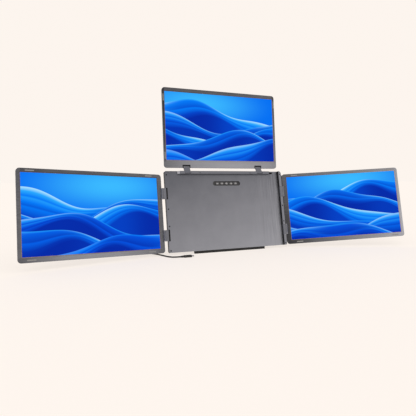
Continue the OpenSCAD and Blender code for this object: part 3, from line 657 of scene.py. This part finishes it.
def addRing(radii, segments, material, turn, place=(0, 0, 0)):
    deselectAll()
    bpy.ops.mesh.primitive_torus_add(major_radius=radii[0], minor_radius=radii[1], major_segments=segments,
                                     minor_segments=8, location=place,
                                     rotation=[math.radians(angle) for angle in turn])
    ring = bpy.context.object
    bpy.ops.object.transform_apply(location=True, rotation=True, scale=True)
    ring.data.materials.append(material)
    return ring


def copyNode(node):
    piece = bpy.data.objects.new(camel(node), bpy.data.objects[node].data.copy())
    bpy.context.collection.objects.link(piece)
    pick(piece)
    bpy.ops.mesh.customdata_custom_splitnormals_clear()
    bpy.ops.object.mode_set(mode="EDIT")
    bpy.ops.mesh.select_all(action="SELECT")
    bpy.ops.mesh.remove_doubles(threshold=0.000002)
    bpy.ops.mesh.dissolve_limited(angle_limit=math.radians(0.6))
    bpy.ops.object.mode_set(mode="OBJECT")
    piece.data.materials.clear()
    return piece


def softenNode(node, width, face, edge, segments=2):
    piece = copyNode(node)
    piece.data.materials.append(face)
    piece.data.materials.append(edge)
    bevel = piece.modifiers.new("softEdges", "BEVEL")
    bevel.width = width * mm
    bevel.segments = segments
    bevel.limit_method = "ANGLE"
    bevel.angle_limit = math.radians(35)
    bevel.material = 1
    bpy.ops.object.modifier_apply(modifier=bevel.name)
    return finishPiece(piece, bodyOf[node], (node,))


def carryOver(node, material):                # a CAD piece that keeps its shape
    part = bpy.data.objects[node]
    part.data.materials.clear()
    part.data.materials.append(material)


# frame: front plate, back shell, rails, stand

frameLook = {
    # plateEdge and railEdge: lighter bevels, partly worn edges and partly a painted highlight along them
    "plate": (tone(76, -4), tone(150, -4)), "plateEdge": (tone(112, -4), tone(146, -4)),
    # plateLight: painted light and shade on the front plate, lighter at its low corners, darkest at its top
    # left
    "plateLight": (0.70, 0.95, 0.12, 0.36), "streaks": 1.5,
    "shell": (tone(54, -4), tone(84, -4)), "rail": (tone(90, -4), tone(122, -4)),
    "rightRail": (tone(100, -4), tone(140, -4)), "railEdge": (tone(128, -4), tone(160, -4)),
    # underRail: painted shade under the top rail; railTip: painted highlight on its sloping left end
    "underRail": (tone(70, -4), tone(96, -4)), "railTip": (tone(150, -4), tone(190, -4)),
    "block": (tone(98, -4), tone(120, -4)), "blockEdge": (tone(84, -4), tone(110, -4)),
    # wall: painted shade on faces that look left and on the upper display's clips; shade: painted shade on
    # the right rail's left walls and lip
    "wall": (tone(34, -3), tone(52, -3)), "shade": (tone(14, -2), tone(30, -2)),
    "leaf": (tone(112, -4), tone(136, -4)), "rubber": (tone(20), tone(52)),
    # mm: the right rail's lip, in painted shade, the tongues of the left blocks, in painted shade, the
    # sloping end of the top rail with its painted highlight, and the two screws in it
    "lipFrom": 182.7, "tongueFrom": (-181.0, 1.5), "tipUpTo": -100,
    "railDots": ((-81, 218), (79, 218)), "dotFace": -8.02, "dotRadius": 1.2,
    "plateBevel": 0.3, "shellBevel": 0.4, "railBevel": 0.6, "blockBevel": 0.4, "standBevel": 0.5,
    "armBevel": 0.3, "screwBevel": 0.15, "footBevel": 0.5, "standFootBevel": 0.3,
}


def makeFrame():
    # the plate's tone carries painted light and shade across it
    plate = satinMetal("plateMetal", "frame", *frameLook["plate"], rough=0.42,
                       corners=frameLook["plateLight"], start=-182.5, streaks=frameLook["streaks"])
    # lighter bevel finish: partly wear, partly painted highlight along the edges
    plateEdge = satinMetal("plateEdge", "frame", *frameLook["plateEdge"], rough=0.3)
    shell = satinMetal("shellMetal", "frame", *frameLook["shell"], rough=0.5)
    rail = brushedMetal("railMetal", "frame", *frameLook["rightRail"], grain=(1.6, 1, 0.02))
    topRail = brushedMetal("topRailMetal", "frame", *frameLook["rail"])
    # lighter bevel finish: partly wear, partly painted highlight along the edges
    railEdge = satinMetal("railEdge", "frame", *frameLook["railEdge"], rough=0.28)
    block = satinMetal("blockMetal", "frame", *frameLook["block"])
    blockEdge = satinMetal("blockEdge", "frame", *frameLook["blockEdge"], rough=0.3)
    wall = satinMetal("wallMetal", "frame", *frameLook["wall"], rough=0.5)
    shade = satinMetal("shadeMetal", "frame", *frameLook["shade"], rough=0.6, metal=0.3)
    black = blackOxide("screwBlack", "frame")
    front = softenNode("frame_front_plate", frameLook["plateBevel"], plate, plateEdge)
    # the plate's faces that look left take painted shade
    paintFaces(front, "frame", wall, lambda spot, way: way.x < -0.3)
    back = softenNode("frame_back_shell", frameLook["shellBevel"], shell, plateEdge)
    # the shell's faces that look left take painted shade
    paintFaces(back, "frame", wall, lambda spot, way: way.x < -0.3)
    post = softenNode("right_hinge_rail", frameLook["railBevel"], rail, railEdge, 3)
    # the right rail's left walls and its lip take painted shade
    paintFaces(post, "frame", shade, lambda spot, way: way.x < -0.3 or spot.x > frameLook["lipFrom"])
    beam = softenNode("top_hinge_rail", frameLook["railBevel"], topRail, railEdge, 3)
    # painted shade on the top rail's underside
    paintFaces(beam, "frame", satinMetal("underRail", "frame", *frameLook["underRail"], metal=0.4),
               lambda spot, way: way.z < -0.5)
    # painted highlight on the sloping left end of the top rail
    paintFaces(beam, "frame", satinMetal("railTip", "frame", *frameLook["railTip"], rough=0.3),
               lambda spot, way: way.x < -0.2 and way.y < -0.2 and spot.x < frameLook["tipUpTo"])
    softenNode("stand_plate", frameLook["standBevel"],
               brushedMetal("standMetal", "frame", *frameLook["rail"]), railEdge, 3)
    dots = addHeads([(x, frameLook["dotFace"], z) for x, z in frameLook["railDots"]], black,
                    frameLook["dotRadius"], -1)
    finishPiece(layIn(joinAll(dots, "topRailScrews"), "frame"), "frame")
    for node in ("right_hinge_upper", "right_hinge_lower"):
        softenNode(node, frameLook["blockBevel"], block, blockEdge, 3)
    tongueX, tongueY = frameLook["tongueFrom"]
    for node in ("left_hinge_upper", "left_hinge_lower"):
        piece = softenNode(node, frameLook["blockBevel"], block, blockEdge, 3)
        # the tongues in the slits take a dark finish as painted shade
        paintFaces(piece, "frame", blackOxide("tongueBlack", "frame"),
                   lambda spot, way: spot.x > tongueX and spot.y > tongueY)
    for node in ("arm_left", "arm_right"):
        softenNode(node, frameLook["armBevel"], block, blockEdge, 3)
    for node in ("plate_screws", "rail_screws"):
        softenNode(node, frameLook["screwBevel"], black, black)
    for node in ("hinge_screws", "stand_pins", "rail_pins"):
        carryOver(node, turnedSteel("pinSteel", "frame"))
    rubber = softRubber("footRubber", "frame", *frameLook["rubber"])
    softenNode("frame_foot", frameLook["footBevel"], rubber, rubber, 3)
    softenNode("stand_foot", frameLook["standFootBevel"], rubber, rubber, 3)


makeFrame()
print("frame, rails, blocks and stand are softened")

# displays: bezel, cover, picture, bumpers and what they hold inside

display = {
    "bezel": (tone(48, -2), tone(165, -4)), "bezelEdge": (tone(40, -3), tone(150, -4)),
    # painted light and shade on the bezel: how light it is at its corners, both low ones, then both high
    # ones, hinge edge first, and how much more painted sheen lies at its low middle
    "bezelCorners": {"left": (0.26, 0.18, 0.22, 0.10, 0.42), "right": (0.02, 1.0, 0.22, 0.60, -0.05),
                     "upper": (0.34, 0.58, 0.13, 0.18, 0.30)},
    # painted shade on the two upright strips beside the picture, hinge side first
    "bezelSides": {"left": (0.02, -0.08), "right": (0.0, -0.12), "upper": (0.18, 0.12)},
    # coverEdge: a lighter bevel, partly worn edge and partly painted highlight
    "cover": (tone(66, -5), tone(92, -5)), "coverEdge": (tone(84, -5), tone(112, -5)),
    "bezelBevel": 0.3, "coverBevel": 1.3, "coverRim": 5.3, "coverGroove": (0.5, 0.3),
    "bumperBevel": 0.25, "hingeBevel": 0.3, "screwIn": 16, "screwSunk": 0.32,
    "glassFront": 1.3, "glassBack": 2.9, "lap": 3.0, "glassCorner": 1.2, "borderTone": (tone(9), tone(20)),
    "gasketTone": (shown(66, 50, 42), shown(176, 160, 148)), "gasketWidth": 1.3,
    "gasketFront": 0.35, "gasketDeep": 0.9, "gasketBevel": 0.3,
    # painted light and shade along the gasket, lighter at the bottom as on the bezel
    "gasketLight": {"left": (0.36, 0.50, 0.0, 0.06), "right": (0.30, 0.95, 0.0, 0.85),
                      "upper": (0.45, 0.60, 0.0, 0.20)},
    "bumperTone": (tone(124), tone(156)),
    "width": {"left": 363.6, "right": 363.6, "upper": 355.0},
    "height": {"left": 213.4, "right": 213.4, "upper": 223.2}, "thickness": 7.4,
    # lit area: from x, from z, width, height
    "lit": {"left": (12, 11.4, 344.2, 193.6), "right": (12, 11.4, 344.2, 193.6),
            "upper": (5.4, 20.4, 344.2, 193.6)},
}


def sheetSize(side):                          # the left display's own axes run the other way
    return (display["width"][side] * (-1 if side == "left" else 1), display["height"][side])


def makePicture(side):
    x, z, w, h = display["lit"][side]
    lap = display["lap"]
    deselectAll()
    bpy.ops.mesh.primitive_cube_add(size=1, location=(
        x + w / 2, (display["glassFront"] + display["glassBack"]) / 2, z + h / 2))
    glass = bpy.context.object
    glass.name = side + "LcdPanel"
    glass.scale = (w + 2 * lap, display["glassBack"] - display["glassFront"], h + 2 * lap)
    bpy.ops.object.transform_apply(location=True, rotation=True, scale=True)
    glass.data.materials.append(mouldedPlastic("pictureBorder", side, *display["borderTone"], rough=0.3))
    glass.data.materials.append(makePictureMaterial(side))
    selectWhere(glass, "FACE", lambda middle, normal: normal.y < -0.9)
    bpy.ops.mesh.inset(thickness=lap, depth=0)
    glass.active_material_index = 1
    bpy.ops.object.material_slot_assign()
    selectWhere(glass, "EDGE", lambda middle, way: abs(way.y) > 0.9)
    bpy.ops.mesh.bevel(offset=display["glassCorner"], segments=4, affect="EDGES")
    bpy.ops.object.mode_set(mode="OBJECT")
    sheet = glass.data.uv_layers.new(name="picture")
    for loop in glass.data.loops:
        place = glass.data.vertices[loop.vertex_index].co
        u = (place.x - x) / w
        sheet.data[loop.index].uv = (1 - u if side == "left" else u, (place.z - z) / h)
    layIn(glass, side)
    finishPiece(glass, side + "_display", (side + "_lcd_panel",))


def makeGasket(side):                         # thin dark strip between the bezel and the picture
    x, z, w, h = display["lit"][side]
    front, deep, bevel = display["gasketFront"], display["gasketDeep"], display["gasketBevel"]
    deselectAll()
    bpy.ops.mesh.primitive_plane_add(size=1, location=(x + w / 2, front, z + h / 2),
                                     rotation=(math.radians(90), 0, 0))
    gasket = bpy.context.object
    gasket.name = side + "Gasket"
    gasket.scale = (w, h, 1)
    bpy.ops.object.transform_apply(location=True, rotation=True, scale=True)
    bpy.ops.object.mode_set(mode="EDIT")
    bpy.ops.mesh.select_all(action="SELECT")
    bpy.ops.mesh.inset(thickness=display["gasketWidth"], depth=0)
    bpy.ops.mesh.delete(type="FACE")
    bpy.ops.mesh.select_all(action="SELECT")
    bpy.ops.mesh.extrude_region_move(TRANSFORM_OT_translate={"value": (0, deep, 0)})
    bpy.ops.object.mode_set(mode="OBJECT")
    selectWhere(gasket, "EDGE", lambda middle, way: middle.y < front + 0.05 and abs(way.y) < 0.1 and
                x + 0.1 < middle.x < x + w - 0.1 and z + 0.1 < middle.z < z + h - 0.1)
    bpy.ops.mesh.bevel(offset=bevel, segments=2, affect="EDGES")
    bpy.ops.object.mode_set(mode="OBJECT")
    gasket.data.materials.append(softRubber(
        "gasketRubber", side, *display["gasketTone"], rough=0.5, corners=display["gasketLight"][side],
        size=sheetSize(side)))
    layIn(gasket, side)
    finishPiece(gasket, side + "_display")


def makeCover(side):
    cover = copyNode(side + "_back_cover")
    inside = (inMetres @ axesOf[side]).inverted()
    w, h, t = display["width"][side], display["height"][side], display["thickness"]
    grooveWide, grooveDeep = display["coverGroove"]
    cover.data.materials.append(satinMetal("coverMetal", side, *display["cover"], rough=0.42))
    cover.data.materials.append(satinMetal("coverEdge", side, *display["coverEdge"], rough=0.3))

    def atBack(middle, normal=None):
        return (inside @ middle).y > t - 0.02

    selectSharp(cover, atBack)
    # the bevel takes the lighter edge finish, partly wear and partly painted highlight
    bpy.ops.mesh.bevel(offset=display["coverBevel"] * mm, segments=4, affect="EDGES", material=1,
                       clamp_overlap=False)
    selectWhere(cover, "FACE", atBack)
    bpy.ops.mesh.inset(thickness=display["coverRim"] * mm, depth=0)
    bpy.ops.mesh.inset(thickness=grooveWide * mm, depth=-grooveDeep * mm)
    bpy.ops.object.mode_set(mode="OBJECT")
    finishPiece(cover, side + "_display", (side + "_back_cover",), smooth=25)
    heads = addHeads([(x, t - display["screwSunk"], z) for x in (display["screwIn"], w - display["screwIn"])
                      for z in (display["screwIn"], h - display["screwIn"])], blackOxide("screwBlack", side))
    finishPiece(layIn(joinAll(heads, side + "CoverScrews"), side), side + "_display")


def makeDisplay(side):
    x, z, w = display["lit"][side][:3]
    # the bezel and its bevel carry painted light and shade across the sheet
    bezel = brushedMetal("bezelMetal", side, *display["bezel"], corners=display["bezelCorners"][side],
                         size=sheetSize(side),
                         sides=(*display["bezelSides"][side], x, display["width"][side] - x - w, z))
    bezelEdge = satinMetal("bezelEdge", side, *display["bezelEdge"], rough=0.3,
                           corners=display["bezelCorners"][side], size=sheetSize(side))
    pad = softRubber("bumperRubber", side, *display["bumperTone"], rough=0.6)
    if side == "upper":
        # the clips take the same dark tones, as painted shade of the pockets they sit in
        hinge = satinMetal("clipMetal", side, *frameLook["wall"])
    else:
        hinge = satinMetal("leafMetal", side, *frameLook["leaf"], metal=0.35)
    softenNode(side + "_bezel", display["bezelBevel"], bezel, bezelEdge)
    makeCover(side)
    makePicture(side)
    makeGasket(side)
    softenNode(side + "_bumpers", display["bumperBevel"], pad, pad, 3)
    carryOver(side + "_backlight", whiteDiffuser("diffuser", side))
    carryOver(side + "_panel_board", solderMask("solderMask", side))
    leaves, pins = ("_hinge_clips", "_pins") if side == "upper" else ("_hinge_leaves", "_hinge_pins")
    softenNode(side + leaves, display["hingeBevel"], hinge, hinge)
    carryOver(side + pins, turnedSteel("pinSteel", side))


for side in ("left", "right", "upper"):
    makeDisplay(side)
print("displays stand")

# keys in their recess

keys = {"tone": (tone(104, -2), tone(132, -2)), "markTone": (tone(206), tone(228)),
        "well": (tone(34, -2), tone(54, -2)), "keyBevel": 0.5, "wellBevel": 0.25,
        "mark": 3.2, "line": 0.45, "raised": 0.05, "sunk": 0.2,                # the marks, in mm
        "ring": (1.4, 0.24), "ringLow": 0.12, "ringBar": 1.2, "listLine": 0.4, "listStep": 1.1,
        "chevronSide": 2.4, "chevronOff": 0.72}


def makeMark(i, x, y, z, ink):                # bar, cross, ring, lines and chevron, printed on the keys
    size, line = keys["mark"], keys["line"]

    def bar(dx, dz, length, high, turn=0):
        block = addBlock((x - length / 2, y - keys["raised"], z - high / 2),
                         (x + length / 2, y + keys["sunk"], z + high / 2), ink, 0.04)
        block.rotation_euler = (0, math.radians(turn), 0)
        block.location = Vector((x, y, z)) - turned(turn, "Y") @ Vector((x, y, z)) + Vector((dx, 0, dz))
        pick(block)
        bpy.ops.object.transform_apply(location=True, rotation=True, scale=True)
        return block

    if i == 1:
        return [bar(0, 0, size, line)]
    if i == 2:
        return [bar(0, 0, size, line), bar(0, 0, line, size)]
    if i == 3:
        ring = addRing(keys["ring"], 36, ink, (90, 0, 0), (x, y + keys["ringLow"], z))
        return [ring, bar(0, keys["ringBar"], line, size / 2)]
    if i == 4:
        return spreadOut(bar(0, 0, size, keys["listLine"]),
                         [(0, 0, row * keys["listStep"]) for row in (-1, 0, 1)])
    side, off = keys["chevronSide"], keys["chevronOff"]
    return [bar(0, off, side, line, 45), bar(0, -off, side, line, -45)]


def makeKeys():
    well = mouldedPlastic("wellPlastic", "frame", *keys["well"])
    softenNode("button_bezel", keys["wellBevel"], well, well)
    key = mouldedPlastic("keyPlastic", "frame", *keys["tone"], rough=0.4, bump=0.015)
    ink = mouldedPlastic("markInk", "frame", *keys["markTone"], rough=0.6)
    inside = (inMetres @ frameAxes).inverted()
    for i in range(1, 6):
        node = "button_" + str(i)
        piece = softenNode(node, keys["keyBevel"], key, key, 3)
        corners = [inside @ Vector(corner) for corner in piece.bound_box]
        middle = [(min(c[k] for c in corners) + max(c[k] for c in corners)) / 2 for k in range(3)]
        marks = makeMark(i, middle[0], min(c[1] for c in corners), middle[2], ink)
        finishPiece(layIn(joinAll(marks, "keyMark" + str(i)), "frame"), bodyOf[node])
    carryOver("key_board", solderMask("solderMask", "frame"))


makeKeys()
print("keys stand")

# rear housing, its board and sockets

housing = {"tone": (tone(26), tone(44)), "bevel": 0.8, "socketBevel": 0.1,
           "across": (-171, -109), "up": (27, 107), "back": 19.4,     # places of its screws
           "screwSunk": 0.18, "screwRadius": 1.6}


def makeHousing():
    shell = mouldedPlastic("housingPlastic", "frame", *housing["tone"])
    steel = turnedSteel("socketSteel", "frame")
    softenNode("rear_housing", housing["bevel"], shell, shell, 3)
    depth = housing["back"] - housing["screwSunk"]
    heads = addHeads([(x, depth, z) for x in housing["across"] for z in housing["up"]],
                     blackOxide("screwBlack", "frame"), housing["screwRadius"])
    finishPiece(layIn(joinAll(heads, "housingScrews"), "frame"), bodyOf["rear_housing"])
    softenNode("signal_sockets", housing["socketBevel"], steel, steel)
    carryOver("driver_board", solderMask("solderMask", "frame"))


makeHousing()
print("housing stands")

# plugs and the tie round the coil

plugs = {"tone": (tone(16), tone(34)), "bevel": 0.35, "thick": 6.0, "length": 20.0,
         "ribs": 5, "ribFrom": 4.5, "ribStep": 2.2, "rib": (0.9, 2.8, 0.25), "ribSunk": 0.05,
         "rings": 5, "ringFrom": -8.2, "ringStep": 1.6, "ring": (2.1, 0.4), "ringGrows": 0.05,
         "tieBevel": 0.2}


def makePlug(node, axes, back, upright):      # back: the middle of the body's rear end
    body = mouldedPlastic("plugPlastic", axes, *plugs["tone"])
    piece = softenNode(node, plugs["bevel"], body, body, 3)
    end = back[0] + plugs["length"]
    paintFaces(piece, axes, turnedSteel("plugSteel", axes), lambda spot, way: spot.x > end + 0.05)
    thick, long, proud = plugs["rib"]
    off = plugs["thick"] / 2 - plugs["ribSunk"]
    if upright:                               # ribs on both sides
        sides, wide, high = ((0, -off, 0), (0, off, 0)), proud, long
    else:                                     # and on top only where the plug lies flat
        sides, wide, high = ((0, 0, off),), long, proud
    rib = addBlock((0, -wide, -high), (thick, wide, high), body, 0.18)
    first = Vector(back) + Vector((plugs["ribFrom"], 0, 0))
    ribs = spreadOut(rib, [first + Vector(face) + Vector((i * plugs["ribStep"], 0, 0))
                           for i in range(plugs["ribs"]) for face in sides])
    grown = [1 + plugs["ringGrows"] * i for i in range(plugs["rings"])]
    relief = spreadOut(addRing(plugs["ring"], 28, body, (0, 90, 0)),
                       [Vector(back) + Vector((plugs["ringFrom"] + i * plugs["ringStep"], 0, 0))
                        for i in range(plugs["rings"])], [(1, grow, grow) for grow in grown])
    grip = layIn(joinAll(ribs + relief, camel(node) + "Grip"), axes)
    finishPiece(grip, bodyOf[node])


makePlug("cord_plug", "frame", (-196.4, 14.8, 47), True)
makePlug("free_plug", "table", (-154, -39, 3), False)
tape = loopTape("loopTape")
softenNode("cord_tie", plugs["tieBevel"], tape, tape)
signalLead.data.materials.append(cordJacket("cordJacket"))
print("lead and plugs stand")

# floor, backdrop and light

studio = {
    "floor": (shown(143, 141, 139), shown(145, 143, 141)),
    "floorGlow": shown(254, 246, 239), "floorGlowStrength": 0.7,    # keeps the shadows on the floor faint
    "world": shown(255, 247, 240),
    "worldStrength": 0.98,
    "suns": [((48, 0, -38), 0.45, 40), ((62, 0, 30), 0.2, 50)],    # turn, strength, spread in degrees
}


def makeStudio():
    deselectAll()
    bpy.ops.mesh.primitive_plane_add(size=30, location=(0, 0, 0))
    floor = bpy.context.object
    floor.name = "floor"
    material, shader, here = startMaterial("floorPaint", "table", 0.9, specular=0.0)
    feed(shader, "Base Color", here.noise(0.002, 2).mix(*studio["floor"]))
    shader.inputs["Emission Color"].default_value = studio["floorGlow"]
    shader.inputs["Emission Strength"].default_value = studio["floorGlowStrength"]
    floor.data.materials.append(material)
    world = bpy.data.worlds.new("studio")
    bpy.context.scene.world = world
    world.use_nodes = True
    world.node_tree.nodes["Background"].inputs["Color"].default_value = studio["world"]
    world.node_tree.nodes["Background"].inputs["Strength"].default_value = studio["worldStrength"]
    for turn, strength, spread in studio["suns"]:
        deselectAll()
        bpy.ops.object.light_add(type="SUN", location=(0, 0, 2), rotation=[math.radians(a) for a in turn])
        bpy.context.object.data.energy = strength
        bpy.context.object.data.angle = math.radians(spread)


makeStudio()
bpy.context.scene.view_settings.view_transform = "Standard"
print("studio stands")
